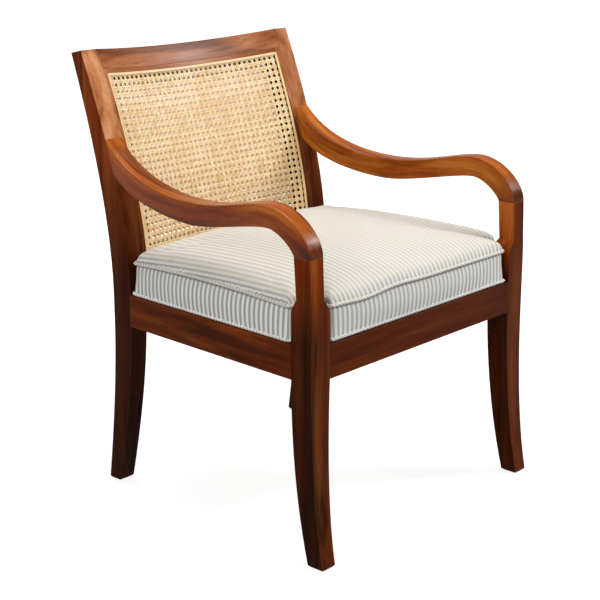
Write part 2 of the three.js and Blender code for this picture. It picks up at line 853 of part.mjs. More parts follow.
/** The filled body, with a groove for each welt, hollowed sides and a crowned top. */
function cushion() {
  const lip = weltSeat - boxingInset;
  const sides = [
    [bottomInset, fit],
    [weltSeat, weltGap],
    [boxingInset, weltGap + lip],
    [boxingInset + boxingHollow, (weltGap + cushionSeam) / 2],
  ].map(([inset, up]) => cushionRing(inset, up));
  const rim = [
    [boxingInset, cushionSeam - lip],
    [weltSeat, cushionSeam],
    [boxingInset, cushionSeam + lip],
    [mix(boxingInset, edgeRollWidth, edgeRollShare), cushionSeam + mix(lip, edgeRoll, edgeRollShare)],
    [edgeRollWidth, cushionSeam + edgeRoll],
  ].map(([inset, up]) => topRing(cushionOutline(inset), up));
  const centre = new THREE.Vector2(0, (cushionNotch + cushionBack) / 2);
  const crown = crownReachShares.map((share, i) => {
    const outline = cushionOutline(edgeRollWidth).map((p) => centre.clone().lerp(p, share));
    return topRing(outline, cushionSeam + mix(edgeRoll, cushionCrown, crownRiseShares[i]));
  });
  return loft([...sides, ...rim, ...crown], fanCap);
}

/** A welt: a cord in its own cover, sewn round the cushion. */
function welt(path) {
  const weltSides = 6;
  const rings = path.map((at, i) => {
    const before = path[(i + path.length - 1) % path.length];
    const after = path[(i + 1) % path.length];
    const along = after.clone().sub(before).normalize();
    const outwards = along.clone().cross(point(0, 0, 1)).normalize();
    const upwards = outwards.clone().cross(along).normalize();
    return Array.from({ length: weltSides }, (_, j) => {
      const angle = (2 * Math.PI * (j + 0.5)) / weltSides;
      return at.clone()
        .addScaledVector(outwards, Math.cos(angle) * weltRadius)
        .addScaledVector(upwards, Math.sin(angle) * weltRadius);
    });
  });
  return loft(rings, null);
}

// The chair

const chair = new THREE.Group();

function add(name, finish, geometry) {
  const mesh = new THREE.Mesh(geometry, new THREE.MeshStandardMaterial(finishes[finish]));
  mesh.name = name;
  chair.add(mesh);
}

/** Adds a left-hand piece and its mirror image. */
function addPair(name, finish, geometry) {
  add(`${name}_left`, finish, geometry);
  add(`${name}_right`, finish, mirrored(geometry));
}

addPair("front_leg", "wood", frontLeg());
addPair("back_post", "wood", backPost());
addPair("arm", "wood", arm());
add("crest_rail", "wood", crestRail());
add("lower_back_rail", "wood", lowerBackRail());
addPair("side_rail", "wood", sideRail());
add("front_rail", "wood", frontRail());
add("rear_rail", "wood", rearRail());

addPair("panel_strip", "wood", sideStrip());
add("panel_strip_top", "wood", crossStrip(crestHeight, 1));
add("panel_strip_bottom", "wood", crossStrip(lowerRailTop, -1));
const farSpline = panelDepth - splineThickness;
const farSheet = farSpline - fit - caneThickness;
add("cane_front", "cane", caneSheet(splineThickness + fit, splineThickness + fit + caneThickness));
add("cane_rear", "cane", caneSheet(farSheet, farSheet + caneThickness));
for (const [face, nearFace] of [["front", 0], ["rear", farSpline]]) {
  addPair(`spline_${face}`, "cane", sideSpline(nearFace));
  add(`spline_${face}_top`, "cane", crossSpline(openingTop + fit, nearFace));
  add(`spline_${face}_bottom`, "cane", crossSpline(openingBottom - splineWidth, nearFace));
}

add("seat_cane", "cane", seatCane());
addPair("seat_spline", "cane", seatSideSpline());
add("seat_spline_front", "cane", seatCrossSpline(legInner - fit, deckFront));
add("seat_spline_rear", "cane", seatCrossSpline(postInnerAt(railTop) - fit, deckRear - splineWidth));

for (const [place, corner] of Object.entries(corners)) {
  addPair(`corner_block_${place}`, "hiddenWood", cornerBlock(corner));
  addPair(`corner_screw_${place}`, "steel", screw(corner, 0));
}
addPair("arm_dowel_front", "hiddenWood", supportDowel(0));
addPair("arm_dowel_rear", "hiddenWood", rootDowel(0));

add("cushion", "cloth", cushion());
add("welt_top", "piping", welt(topRing(cushionOutline(weltRadius), cushionSeam)));
add("welt_bottom", "piping", welt(cushionRing(weltRadius, weltGap)));

// The origin is the middle of the chair's footprint, on the floor
const bounds = new THREE.Box3().setFromObject(chair);
const middle = bounds.getCenter(point(0, 0, 0));
chair.position.set(-middle.x, -middle.y, -bounds.min.z);

const model = new THREE.Group();
model.add(chair);

export default model;
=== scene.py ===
import json
import math
import random

import bpy
import numpy as np
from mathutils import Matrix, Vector
from mathutils.geometry import delaunay_2d_cdt

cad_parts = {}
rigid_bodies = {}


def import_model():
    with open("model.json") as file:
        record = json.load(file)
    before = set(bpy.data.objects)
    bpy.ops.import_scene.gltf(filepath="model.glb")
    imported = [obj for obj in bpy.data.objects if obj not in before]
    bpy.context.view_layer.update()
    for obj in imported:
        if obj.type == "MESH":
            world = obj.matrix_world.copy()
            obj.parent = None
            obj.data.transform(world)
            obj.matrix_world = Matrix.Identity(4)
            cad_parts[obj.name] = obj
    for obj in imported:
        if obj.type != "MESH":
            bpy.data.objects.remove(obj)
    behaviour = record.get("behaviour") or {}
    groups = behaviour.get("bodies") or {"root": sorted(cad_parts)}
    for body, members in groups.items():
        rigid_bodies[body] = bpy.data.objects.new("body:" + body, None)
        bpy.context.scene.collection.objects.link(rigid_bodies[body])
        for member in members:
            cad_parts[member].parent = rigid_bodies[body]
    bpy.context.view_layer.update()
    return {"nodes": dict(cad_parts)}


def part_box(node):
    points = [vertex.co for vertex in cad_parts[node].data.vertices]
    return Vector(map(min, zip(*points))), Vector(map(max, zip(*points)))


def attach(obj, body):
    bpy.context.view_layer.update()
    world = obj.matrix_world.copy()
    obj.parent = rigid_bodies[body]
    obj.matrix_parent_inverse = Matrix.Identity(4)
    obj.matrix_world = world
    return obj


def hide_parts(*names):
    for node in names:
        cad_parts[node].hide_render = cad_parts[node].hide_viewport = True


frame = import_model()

MM = 0.001
random.seed(11)

# Sizes that the chair's solids have too
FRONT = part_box("front_rail")[0].y
FRONT_WIDTH, BACK_WIDTH = 608 * MM, 551 * MM
LEG, SEAT_DEPTH = 47 * MM, 431.5 * MM
RAIL_TOP, RAIL_FALL = 390 * MM, 5.5 * MM
RAIL_THICKNESS, REAR_SETBACK = 22 * MM, 12 * MM
RABBET_WIDTH, RABBET_DEPTH = 8 * MM, 4.5 * MM
POST_FRONT = LEG + SEAT_DEPTH
POST_WIDTH, POST_TOP_WIDTH = 41 * MM, 39 * MM
BACK_HEIGHT, BACK_REACH = 437 * MM, 113 * MM
BEND_RISE, FRONT_BEND_SHARE = 10 * MM, 0.386
BOW = 27 * MM
CREST_HEIGHT, STRIP, CANE_HEIGHT = 38.5 * MM, 8.8 * MM, 350 * MM
PANEL_DEPTH, CANE_THICKNESS, SPLINE_THICKNESS = 22 * MM, 2 * MM, 1.2 * MM
FIT = 0.3 * MM
EAR_GAP, NOTCH_GAP, BACK_GAP = 1 * MM, 3 * MM, 1 * MM
CUSHION_BOW = 20 * MM
SEAM, WELT = 62 * MM, 4 * MM


# ---------------------------------------------------------------- camera and lamps

def camera():
    data = bpy.data.cameras.new("camera")
    data.sensor_width = 36
    data.lens = 88.32
    data.clip_end = 100
    o = bpy.data.objects.new("camera", data)
    bpy.context.scene.collection.objects.link(o)
    o.location = (-2.00544, -1.82619, 1.14403)
    o.rotation_euler = (math.radians(73.68), 0, math.radians(-47.78))
    bpy.context.scene.camera = o


def area_light(name, place, target, size, watts):
    data = bpy.data.lights.new(name, "AREA")
    data.shape = "RECTANGLE"
    data.size, data.size_y = size
    data.energy = watts
    o = bpy.data.objects.new(name, data)
    bpy.context.scene.collection.objects.link(o)
    o.location = place
    o.rotation_euler = (Vector(target) - Vector(place)).to_track_quat("-Z", "Y").to_euler()


# ---------------------------------------------------------------- node materials

# A ramp takes 0 to 1, so a place between -0.5 and 0.5 m is moved up by this
RAMP_SHIFT = 0.5
# The boxing's place in the map named "cloth", below the top panel, and its threads' pitch
BOXING_MAP = -1.0
THREAD = 0.7 * MM


class Tree:
    """A material's nodes, around one Principled shader."""

    def __init__(self, name):
        self.material = bpy.data.materials.new(name)
        self.material.use_nodes = True
        self.tree = self.material.node_tree
        self.tree.nodes.clear()
        self.output = self.tree.nodes.new("ShaderNodeOutputMaterial")
        self.shader = self.tree.nodes.new("ShaderNodeBsdfPrincipled")
        self.tree.links.new(self.shader.outputs["BSDF"], self.output.inputs["Surface"])

    def add(self, kind, inputs=None, **settings):
        node = self.tree.nodes.new("ShaderNode" + kind)
        for key, value in settings.items():
            setattr(node, key, value)
        for key, value in (inputs or {}).items():
            self.set(node.inputs[key], value)
        return node

    def set(self, socket, value):
        if isinstance(value, bpy.types.NodeSocket):
            self.tree.links.new(value, socket)
        else:
            socket.default_value = value

    def objects(self):
        return self.add("TexCoord").outputs["Object"]

    def parts(self, vector):
        """The X, Y and Z of a vector, as outputs."""
        return self.add("SeparateXYZ", {"Vector": vector}).outputs

    def mapped(self, vector, scale, location=(0, 0, 0)):
        return self.add("Mapping", {"Vector": vector, "Scale": scale, "Location": location}).outputs["Vector"]

    def noise(self, vector, scale, detail=3, roughness=0.55, distortion=0):
        inputs = {"Vector": vector, "Scale": scale, "Detail": detail, "Roughness": roughness,
                  "Distortion": distortion}
        return self.add("TexNoise", inputs).outputs["Fac"]

    def ramp(self, value, stops):
        """A colour ramp from (place, colour) stops; a plain number stands for a grey."""
        node = self.add("ValToRGB", {"Fac": value})
        elements = node.color_ramp.elements
        while len(elements) < len(stops):
            elements.new(0.5)
        for element, (place, colour) in zip(elements, stops):
            element.position = place
            element.color = (*colour, 1) if isinstance(colour, tuple) else (colour, colour, colour, 1)
        return node.outputs["Color"]

    def maths(self, operation, a, b=0.0):
        return self.add("Math", {0: a, 1: b}, operation=operation).outputs["Value"]

    def mix(self, share, a, b, blend="MIX"):
        node = self.add("Mix", data_type="RGBA", blend_type=blend)
        for key, value in ((0, share), (6, a), (7, b)):
            self.set(node.inputs[key], (*value, 1) if isinstance(value, tuple) and len(value) == 3 else value)
        return node.outputs[2]

    def bump(self, height, strength, distance, normal=None):
        inputs = {"Height": height, "Strength": strength, "Distance": distance}
        if normal is not None:
            inputs["Normal"] = normal
        return self.add("Bump", inputs).outputs["Normal"]

    def finish(self, colour, roughness, normal=None, **plain):
        self.set(self.shader.inputs["Base Color"], colour)
        self.set(self.shader.inputs["Roughness"], roughness)
        if normal is not None:
            self.set(self.shader.inputs["Normal"], normal)
        for key, value in plain.items():
            self.shader.inputs[key.replace("_", " ")].default_value = value
        return self.material


def srgb(code):
    """A linear colour from a hex code."""
    values = [int(code[i:i + 2], 16) / 255 for i in (0, 2, 4)]
    return tuple(v / 12.92 if v <= 0.04045 else ((v + 0.055) / 1.055) ** 2.4 for v in values)


def drawn_out(axis, share):
    """A scale that draws a pattern out along one axis."""
    return tuple(share if letter == axis else 1 for letter in "xyz")


def wood(name, axis, seed, colours, gloss, fronts=None, sides=None, follow=None, recess=None, wear_and_highlight=0.35):
    """Polished mahogany with its grain along one axis. The colours are the deepest streaks, the dark bands,
    the body and the light bands. The edges are paler, partly from wear and partly as a painted highlight,
    and the pores are fine and dark. Light and shade are painted in, as what is left of the colour: one list
    for the faces that look forwards or backwards and one for the others, so that each face is lighter or
    darker as the light falls on it. Each is a list of (height, colour), or of (x + 0.5, colour) on a piece
    that lies along x. Grain that follows an arm is given as the (y, height) points of the arm's line. A
    recess that lies in the shade is painted dark where a |x| + b x² + c z + d is above zero, and is given
    as (a, b, c, d)."""
    t = Tree(name)
    deepest, low, body, light = (srgb(c) for c in colours)
    offset = tuple(v * 3.7 for v in ((seed * 0.37) % 1, (seed * 0.71) % 1, (seed * 0.13) % 1))
    grown = t.objects()
    place = t.parts(grown)
    if follow:
        line = t.ramp(t.maths("ADD", place["Y"], RAMP_SHIFT), [(y + RAMP_SHIFT, z) for y, z in follow])
        above = t.maths("SUBTRACT", place["Z"], line)
        grown = t.add("CombineXYZ", {"X": place["X"], "Y": place["Y"], "Z": above}).outputs["Vector"]
    along = t.mapped(grown, drawn_out(axis, 0.07), offset)
    fibres = t.mapped(grown, drawn_out(axis, 0.02), offset)
    bands = t.noise(along, 40, 4, 0.5, 0.4)
    streaks = t.noise(along, 19, 3, 0.5, 0.6)
    lines = t.noise(fibres, 230, 2, 0.5)
    threads = t.noise(fibres, 420, 3, 0.6)
    pores = t.noise(fibres, 1300, 2, 0.5)
    tone = t.ramp(bands, [(0.32, low), (0.48, body), (0.66, light)])
    tone = t.mix(t.ramp(threads, [(0.35, 0.3), (0.6, 0.0)]), tone, low)
    tone = t.mix(t.ramp(streaks, [(0.55, 0.0), (0.64, 0.7), (0.74, 0.3)]), tone, deepest)
    tone = t.mix(t.ramp(lines, [(0.62, 0.0), (0.72, 0.5)]), tone, deepest)
    tone = t.mix(t.ramp(pores, [(0.6, 0.0), (0.7, 0.4)]), tone, deepest)
    rounded = t.add("Bevel", {"Radius": 1.2 * MM}, samples=4).outputs["Normal"]
    flat = t.add("NewGeometry").outputs["Normal"]
    # Light and shade are painted in: the colour is made lighter or darker by height, and by whether a face
    # looks forwards or backwards
    if fronts:
        stop = t.maths("ADD", place["X"], RAMP_SHIFT) if axis == "x" else place["Z"]
        painted_shadings = [t.ramp(stop, [(at, srgb(c)) for at, c in painted_shading]) for painted_shading in (sides or fronts, fronts)]
        forwards = t.maths("ABSOLUTE", t.parts(flat)["Y"])
        painted_shading = t.mix(t.ramp(forwards, [(0.45, 0.0), (0.9, 1.0)]), *painted_shadings)
        tone = t.mix(1.0, tone, painted_shading, "MULTIPLY")
    if recess:
        a, b, c, d = recess
        across = t.maths("ADD", t.maths("MULTIPLY", t.maths("ABSOLUTE", place["X"]), a),
                         t.maths("MULTIPLY", t.maths("MULTIPLY", place["X"], place["X"]), b))
        value = t.maths("ADD", across, t.maths("ADD", t.maths("MULTIPLY", place["Z"], c), d))
        tone = t.mix(t.maths("GREATER_THAN", value, 0.1 * MM), tone, t.mix(0.85, tone, srgb("140a04")))
    along_edge = t.add("VectorMath", {0: rounded, 1: flat}, operation="DOT_PRODUCT").outputs["Value"]
    # The edges are paler, partly from wear and partly as a painted highlight
    mark_strength = t.maths("MULTIPLY", t.ramp(along_edge, [(0.86, 1.0), (0.995, 0.0)]), t.noise(t.objects(), 45, 4))
    tone = t.mix(t.maths("MULTIPLY", mark_strength, 0.8), tone, t.mix(wear_and_highlight, tone, srgb("e8bc96")))
    roughness = t.ramp(t.noise(along, 70, 4), [(0.3, 0.16), (0.75, 0.32)])
    waves = t.bump(t.noise(along, 22, 2), 0.1, 1.5 * MM, rounded)
    normal = t.bump(pores, 0.06, 0.12 * MM, waves)
    return t.finish(tone, roughness, normal, Specular_IOR_Level=gloss)


def plain_wood(name, axis, seed):
    """Unpolished wood of the hidden blocks and dowels."""
    t = Tree(name)
    along = t.mapped(t.objects(), drawn_out(axis, 0.08), (seed, 0, seed))
    bands = t.noise(along, 140, 5, 0.6, 0.3)
    tone = t.ramp(bands, [(0.3, srgb("4a2412")), (0.55, srgb("7d4a2a")), (0.8, srgb("96603a"))])
    fuzz = t.noise(along, 900, 3, 0.6)
    return t.finish(tone, t.ramp(fuzz, [(0.3, 0.6), (0.7, 0.85)]), t.bump(fuzz, 0.35, 0.2 * MM))


def cane_material(name, light="fce6ba", dark="dcb06c", inner=0.0):
    """Split cane: glossy straw-coloured bark with fine fibres. Each strand has a tone of its own. The inner
    side is 1 or -1 where the strands' faces that look backwards or forwards lie between two sheets, in the
    shade."""
    t = Tree(name)
    own = t.add("Attribute", attribute_name="tone").outputs["Fac"]
    fibres = t.noise(t.objects(), 900, 3, 0.6)
    patches = t.noise(t.objects(), 55, 4, 0.6)
    share = t.maths("ADD", t.maths("MULTIPLY", own, 0.55), t.maths("MULTIPLY", patches, 0.5))
    middle = tuple((a + b) / 2 for a, b in zip(srgb(light), srgb(dark)))
    tone = t.ramp(share, [(0.2, srgb(dark)), (0.5, middle), (0.8, srgb(light))])
    tone = t.mix(t.ramp(fibres, [(0.35, 0.25), (0.6, 0.0)]), tone, srgb("a8733a"))
    if inner:
        facing = t.parts(t.add("NewGeometry").outputs["Normal"])["Y"]
        shade = t.ramp(t.maths("MULTIPLY", facing, inner), [(0.1, 0.0), (0.6, 1.0)])
        tone = t.mix(t.maths("MULTIPLY", shade, 0.8), tone, srgb("bc9e8c"))
    roughness = t.ramp(fibres, [(0.3, 0.38), (0.7, 0.55)])
    return t.finish(tone, roughness, t.bump(fibres, 0.3, 0.12 * MM))


def steel_material():
    """Plain steel, scratched and a little rusty."""
    t = Tree("screw_steel")
    scratches = t.noise(t.mapped(t.objects(), (1, 1, 0.2)), 2600, 3, 0.6)
    rust = t.noise(t.objects(), 700, 4, 0.6)
    tone = t.mix(t.ramp(rust, [(0.55, 0.0), (0.75, 0.5)]), srgb("9c9b95"), srgb("6b4a33"))
    return t.finish(tone, t.ramp(scratches, [(0.3, 0.28), (0.7, 0.5)]), t.bump(scratches, 0.2, 0.05 * MM),
                    Metallic=1.0)


def ticking(name, pitch, contrast_low, contrast_high, pale="d8d2c4", slant=0.0):
    """Cotton ticking. Its stripes run along the second coordinate of the map named "cloth". The low contrast
    is that of the top, whose stripes are painted fainter as a painted glare of bright light, and the high one
    that of the sides."""
    t = Tree(name)
    cloth = t.parts(t.add("UVMap", uv_map="cloth").outputs["UV"])
    facing = t.parts(t.add("NewGeometry").outputs["Normal"])
    up, forwards = facing["Z"], t.maths("ABSOLUTE", facing["Y"])
    across = t.maths("ADD", cloth["X"], t.maths("MULTIPLY", cloth["Y"], slant))
    waver = t.maths("MULTIPLY", t.noise(t.objects(), 26, 2), 1.2 * MM)
    phase = t.maths("MULTIPLY", t.maths("ADD", across, waver), 2 * math.pi / pitch)
    wave = t.maths("ADD", t.maths("MULTIPLY", t.maths("SINE", phase), 0.5), 0.5)
    stripes = t.ramp(wave, [(0.42, 0.0), (0.66, 1.0)])
    # The stripes are painted fainter on faces that look up, as a painted glare of bright light
    mark_strength = t.ramp(up, [(0.25, contrast_high), (0.8, contrast_low)])
    fainter = t.ramp(forwards, [(0.4, 1.0), (0.9, 0.78)])
    share = t.maths("MULTIPLY", t.maths("MULTIPLY", stripes, mark_strength), fainter)
    ground = t.mix(t.ramp(up, [(0.1, 0.0), (0.9, 1.0)]), srgb("eae9e6"), srgb(pale))
    tone = t.mix(share, ground, srgb("7e8084"))
    # The boxing, which is mapped below zero, is in the shade of the welt above it
    height = t.maths("ADD", cloth["Y"], -BOXING_MAP)
    shaded = t.ramp(height, [(SEAM - 5 * MM, 0.0), (SEAM - 3 * MM, 0.9), (SEAM + 1 * MM, 0.9),
                             (2 * SEAM, 0.0)])
    tone = t.mix(shaded, tone, srgb("2c261e"))
    blotches = t.noise(t.objects(), 18, 4, 0.6)
    tone = t.mix(t.ramp(blotches, [(0.35, 0.1), (0.65, 0.0)]), tone, srgb("b9ac90"))
    warp, weft = (t.maths("SINE", t.maths("MULTIPLY", cloth[way], 2 * math.pi / THREAD)) for way in "XY")
    threads = t.maths("MULTIPLY", warp, weft)
    slubs = t.noise(t.objects(), 1200, 3, 0.6)
    tone = t.mix(t.ramp(slubs, [(0.3, 0.16), (0.6, 0.0)]), tone, srgb("8e8878"))
    relief = t.maths("ADD", t.maths("MULTIPLY", threads, 0.5), slubs)
    creases = t.bump(t.noise(t.objects(), 60, 4, 0.6), 0.25, 1.5 * MM)
    normal = t.bump(relief, 0.35, 0.12 * MM, creases)
    return t.finish(tone, t.ramp(slubs, [(0.3, 0.85), (0.7, 0.97)]), normal, Sheen_Weight=0.15)


# ---------------------------------------------------------------- meshes

# A bend between two facets that is sharper than this, in degrees, is an edge
EDGE_ANGLE = 48


def new_object(name, vertices, faces, material):
    mesh = bpy.data.meshes.new(name)
    mesh.from_pydata([tuple(v) for v in vertices], [], [tuple(f) for f in faces])
    mesh.materials.append(material)
    mesh.polygons.foreach_set("use_smooth", [True] * len(mesh.polygons))
    o = bpy.data.objects.new(name, mesh)
    bpy.context.scene.collection.objects.link(o)
    return o


def apply_modifiers(o):
    graph = bpy.context.evaluated_depsgraph_get()
    evaluated = o.evaluated_get(graph)
    mesh = bpy.data.meshes.new_from_object(evaluated, preserve_all_data_layers=True, depsgraph=graph)
    o.modifiers.clear()
    o.data = mesh


def dress(node, material):
    """A CAD node's finish: smooth over its facets, sharp at its edges."""
    o = frame["nodes"][node]
    o.data.materials.clear()
    o.data.materials.append(material)
    o.data.polygons.foreach_set("use_smooth", [True] * len(o.data.polygons))
    with bpy.context.temp_override(object=o, active_object=o):
        bpy.ops.mesh.customdata_custom_splitnormals_clear()
    weld = o.modifiers.new("weld", "WELD")
    weld.merge_threshold = 0.02 * MM
    split = o.modifiers.new("edges", "EDGE_SPLIT")
    split.split_angle = math.radians(EDGE_ANGLE)
    split.use_edge_sharp = False
    even = o.modifiers.new("even", "WEIGHTED_NORMAL")
    even.mode = "FACE_AREA_WITH_ANGLE"
    even.keep_sharp = True


# ---------------------------------------------------------------- the caned back and seat

def lerp(a, b, share):
    return a + (b - a) * share


def lengths_along(points):
    """The length along a line of points, from its start to each point."""
    return np.concatenate([[0], np.cumsum(np.linalg.norm(np.diff(points, axis=0), axis=1))])


def post_curve(steps):
    """The (y, z) points of the posts' front edge, from the bend above the seat to the top."""
    start, end = RAIL_TOP + BEND_RISE, RAIL_TOP + BACK_HEIGHT
    a, b, c = np.array([(POST_FRONT, start), (POST_FRONT, lerp(start, end, FRONT_BEND_SHARE)),
                        (POST_FRONT + BACK_REACH, end)])
    t = np.linspace(0, 1, steps + 1)[:, None]
    return (1 - t) ** 2 * a + 2 * t * (1 - t) * b + t ** 2 * c


CURVE_STEPS = 2000
CURVE_POINTS = post_curve(CURVE_STEPS)
CURVE_LENGTHS = lengths_along(CURVE_POINTS)
CURVE_LENGTH = CURVE_LENGTHS[-1]


def back_line(down):
    """(y, z, into y, into z) of the posts' front edge, down from their tops."""
    if down >= CURVE_LENGTH:
        return POST_FRONT, RAIL_TOP + BEND_RISE + CURVE_LENGTH - down, 1.0, 0.0
    i = min(int(np.searchsorted(CURVE_LENGTHS, CURVE_LENGTH - down)), CURVE_STEPS - 1)
    step = CURVE_POINTS[i + 1] - CURVE_POINTS[i]
    step = step / np.linalg.norm(step)
    return CURVE_POINTS[i][0], CURVE_POINTS[i][1], step[1], -step[0]


def back_half(down):
    """Half the width between the posts."""
    z = back_line(down)[1]
    return BACK_WIDTH / 2 - lerp(POST_WIDTH, POST_TOP_WIDTH, max(0, z - RAIL_TOP) / BACK_HEIGHT)


def back_point(x, down, depth):
    """A point of the bowed back, down from its top and deep behind its front."""
    y, z, into_y, into_z = back_line(down)
    into = depth + BOW * (1 - (x / back_half(down)) ** 2)
    return (x, FRONT + y + into_y * into, z + into_z * into)


def seat_half(y):
    """Half the seat's width over its rails."""
    return lerp(FRONT_WIDTH / 2, BACK_WIDTH / 2, (y - LEG) / SEAT_DEPTH)


def seat_point(x, y, up):
    """A point above the rails' tops, which fall towards the back."""
    return (x, FRONT + y, RAIL_TOP - RAIL_FALL * (y / POST_FRONT) + up)


# The holes' pitch, each strand's place beside the middle of its pair, and its width and thickness
PITCH, PAIR = 12.7 * MM, 1.8 * MM
STRAND, STRAND_THICKNESS = 2.8 * MM, 0.55 * MM
# A strand's section, in half widths and half thicknesses
RIBBON = ((-1, 0.15), (-0.5, -1), (0.5, -1), (1, 0.15), (0.5, 1), (-0.5, 1))
# How far the strands weave in and out, at the crossings of the pairs and midway between them
DIAGONAL_LIFT = 0.42 * MM
UPRIGHT_LIFTS = (0.5 * DIAGONAL_LIFT, 0)
LEVEL_LIFTS = (0.4 * DIAGONAL_LIFT, -0.2 * DIAGONAL_LIFT)
# How far the lines of the weave are counted to each side, where each sheet's first row of holes lies, and
# how much wider the rear sheet's strands are
BACK_SPAN, SEAT_SPAN = 0.24, 0.29
BACK_ROW, SEAT_ROW = 3.7 * MM, 6 * MM
REAR_FULLNESS = 1.5


def strand(mesh, points, width, place, tone):
    """One strand along (u, v, depth) points, a crowned ribbon laid on a surface."""
    vertices, faces, tones = mesh
    base = len(vertices)
    half, top = width / 2, STRAND_THICKNESS / 2
    for i, (u, v, w) in enumerate(points):
        before, after = points[max(i - 1, 0)], points[min(i + 1, len(points) - 1)]
        du, dv = after[0] - before[0], after[1] - before[1]
        length = math.hypot(du, dv) or 1
        nu, nv = -dv / length, du / length
        for side, out in RIBBON:
            vertices.append(place(u + nu * half * side, v + nv * half * side, w + out * top))
            tones.append(tone)
    ring = len(RIBBON)
    for i in range(len(points) - 1):
        for j in range(ring):
            a, b = base + i * ring + j, base + i * ring + (j + 1) % ring
            faces.append((a, b, b + ring, a + ring))
    last = base + (len(points) - 1) * ring
    faces.append(tuple(base + j for j in reversed(range(ring))))
    faces.append(tuple(last + j for j in range(ring)))


def weave(name, inside, span_u, span_v, place, material, seed, shift, fullness=1.0):
    """Six-way caning: pairs both ways and a strand on each diagonal, over and under by turns.
    inside(u, v) says whether a point lies on the sheet, and a fuller weave has smaller holes."""
    rng = random.Random(seed)
    mesh = ([], [], [])
    u0, v0 = shift
    width = STRAND * fullness

    def runs(points):
        run = []
        for p in points + [None]:
            if p is not None and inside(p[0], p[1]):
                run.append(p)
                continue
            if len(run) > 1:
                strand(mesh, run, width, place, rng.random())
            run = []

    lines_u = range(math.floor((span_u[0] - u0) / PITCH), math.ceil((span_u[1] - u0) / PITCH) + 1)
    lines_v = range(math.floor((span_v[0] - v0) / PITCH), math.ceil((span_v[1] - v0) / PITCH) + 1)
    halves_u = [h / 2 for h in range(2 * lines_u[0], 2 * lines_u[-1] + 1)]
    halves_v = [h / 2 for h in range(2 * lines_v[0], 2 * lines_v[-1] + 1)]
    for i in lines_u:
        for side in (-1, 1):
            u = u0 + i * PITCH + side * PAIR
            runs([(u, v0 + h * PITCH, side * UPRIGHT_LIFTS[h % 1 != 0]) for h in halves_v])
    for j in lines_v:
        for side in (-1, 1):
            v = v0 + j * PITCH + side * PAIR
            runs([(u0 + h * PITCH, v, side * LEVEL_LIFTS[h % 1 != 0]) for h in halves_u])
    # A diagonal crosses the pairs midway between their own crossings, so open eight-sided holes are left
    for way in (1, -1):
        first, last = lines_v[0] - lines_u[-1], lines_v[-1] - lines_u[0]
        if way == -1:
            first, last = lines_v[0] + lines_u[0], lines_v[-1] + lines_u[-1]
        for k in range(first, last + 1):
            points = []
            for h in halves_u:
                v = way * h + k + 0.5
                if not lines_v[0] <= v <= lines_v[-1]:
                    continue
                over = 1 if h % 1 == 0 else -1
                points.append((u0 + h * PITCH, v0 + v * PITCH, -way * over * DIAGONAL_LIFT))
            if len(points) > 1:
                runs(points)
    vertices, faces, tones = mesh
    o = new_object(name, vertices, faces, material)
    o.data.attributes.new("tone", "FLOAT", "POINT").data.foreach_set("value", tones)
    return o


def flat_bake_map(o, upwards):
    """A map for baking: the faces that look forwards on one half, the others beside them. It is laid out by x
    and by the axis that counts as upwards."""
    mesh = o.data
    layer = mesh.uv_layers.new(name="OFBake")
    co = np.empty(len(mesh.vertices) * 3)
    mesh.vertices.foreach_get("co", co)
    co = co.reshape(-1, 3)
    u, v = ((c - c.min()) / (c.max() - c.min()) for c in (co[:, 0], co[:, upwards]))
    normals = np.empty(len(mesh.polygons) * 3)
    mesh.polygons.foreach_get("normal", normals)
    normals = normals.reshape(-1, 3)
    corners = np.empty(len(mesh.loops), int)
    mesh.loops.foreach_get("vertex_index", corners)
    totals = np.empty(len(mesh.polygons), int)
    mesh.polygons.foreach_get("loop_total", totals)
    away = np.repeat((normals[:, 1] + normals[:, 2] * 0.3) > 0, totals)
    margin = 0.005
    left = np.where(away, 0.5 + margin, margin)
    uv = np.stack([u[corners] * (0.5 - 2 * margin) + left, v[corners] * (1 - 2 * margin) + margin], 1)
    layer.data.foreach_set("uv", uv.ravel())


def caned_back():
    """Two sheets with a gap. The rear one is shifted and woven fuller, so they cross to a moire."""
    top = CREST_HEIGHT + STRIP + FIT
    bottom = CREST_HEIGHT + STRIP + CANE_HEIGHT - FIT
    near = SPLINE_THICKNESS + FIT + CANE_THICKNESS / 2
    far = PANEL_DEPTH - near
    row = top + BACK_ROW
    rear_shift = (PITCH * 0.25, row + PITCH * 0.5)
    for name, depth, seed, shift, fullness, inner in (("cane_front", near, 3, (0, row), 1.0, 1.0),
                                                      ("cane_rear", far, 5, rear_shift, REAR_FULLNESS, -1.0)):
        o = weave(
            f"woven_{name}",
            lambda u, v: top <= v <= bottom and abs(u) <= back_half(v) - STRIP - FIT,
            (-BACK_SPAN, BACK_SPAN),
            (top, bottom),
            lambda u, v, w, depth=depth: back_point(u, v, depth + w),
            cane_material(name, inner=inner),
            seed,
            shift,
            fullness,
        )
        o.visible_shadow = False
        flat_bake_map(o, 2)
        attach(o, "frame")
        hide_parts(name)


